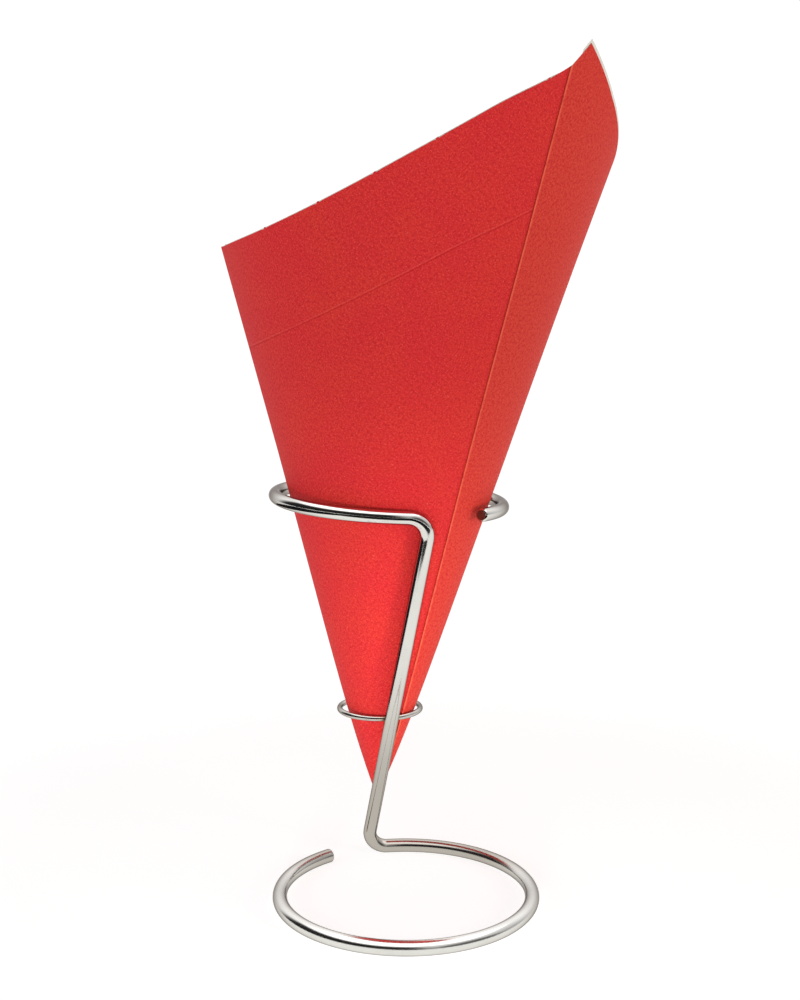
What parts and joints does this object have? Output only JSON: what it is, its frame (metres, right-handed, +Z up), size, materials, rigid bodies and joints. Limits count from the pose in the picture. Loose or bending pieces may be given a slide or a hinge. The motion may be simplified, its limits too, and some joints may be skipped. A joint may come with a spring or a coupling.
{
  "type": "food cone stand",
  "caption": "Bent polished rod stand with an open base ring, a leaning stem and an open upper ring, holding a rolled paper food cone that lifts out.",
  "frame": {"origin": "middle of the footprint of the whole object, on the surface it stands on", "axes": "+Z up, +Y away from the front (the base ring lies to the front, the cone to the back), +X to the right seen from the front"},
  "size_m": [0.1714, 0.21, 0.3445],
  "materials": {
    "polished_rod": "mirror polished, light handling scratches",
    "polished_wire": "mirror polished",
    "weld_metal": "braze spot with straw heat tint",
    "red_paper": "matt dyed paper, faint fibre mottle",
    "liner_paper": "satin greaseproof paper"
  },
  "bodies": {
    "stand": {"stand_rod": "polished_rod", "tip_ring": "polished_wire", "tip_ring_weld": "weld_metal"},
    "cone": {"cone_sheet": "red_paper", "cone_liner": "liner_paper"}
  },
  "joints": [
    {"name": "cone_lift", "type": "slide", "parent": "stand", "child": "cone", "axis": [0.0418, 0.0201, 0.9989], "range_m": [0, 0.15]}
  ]
}
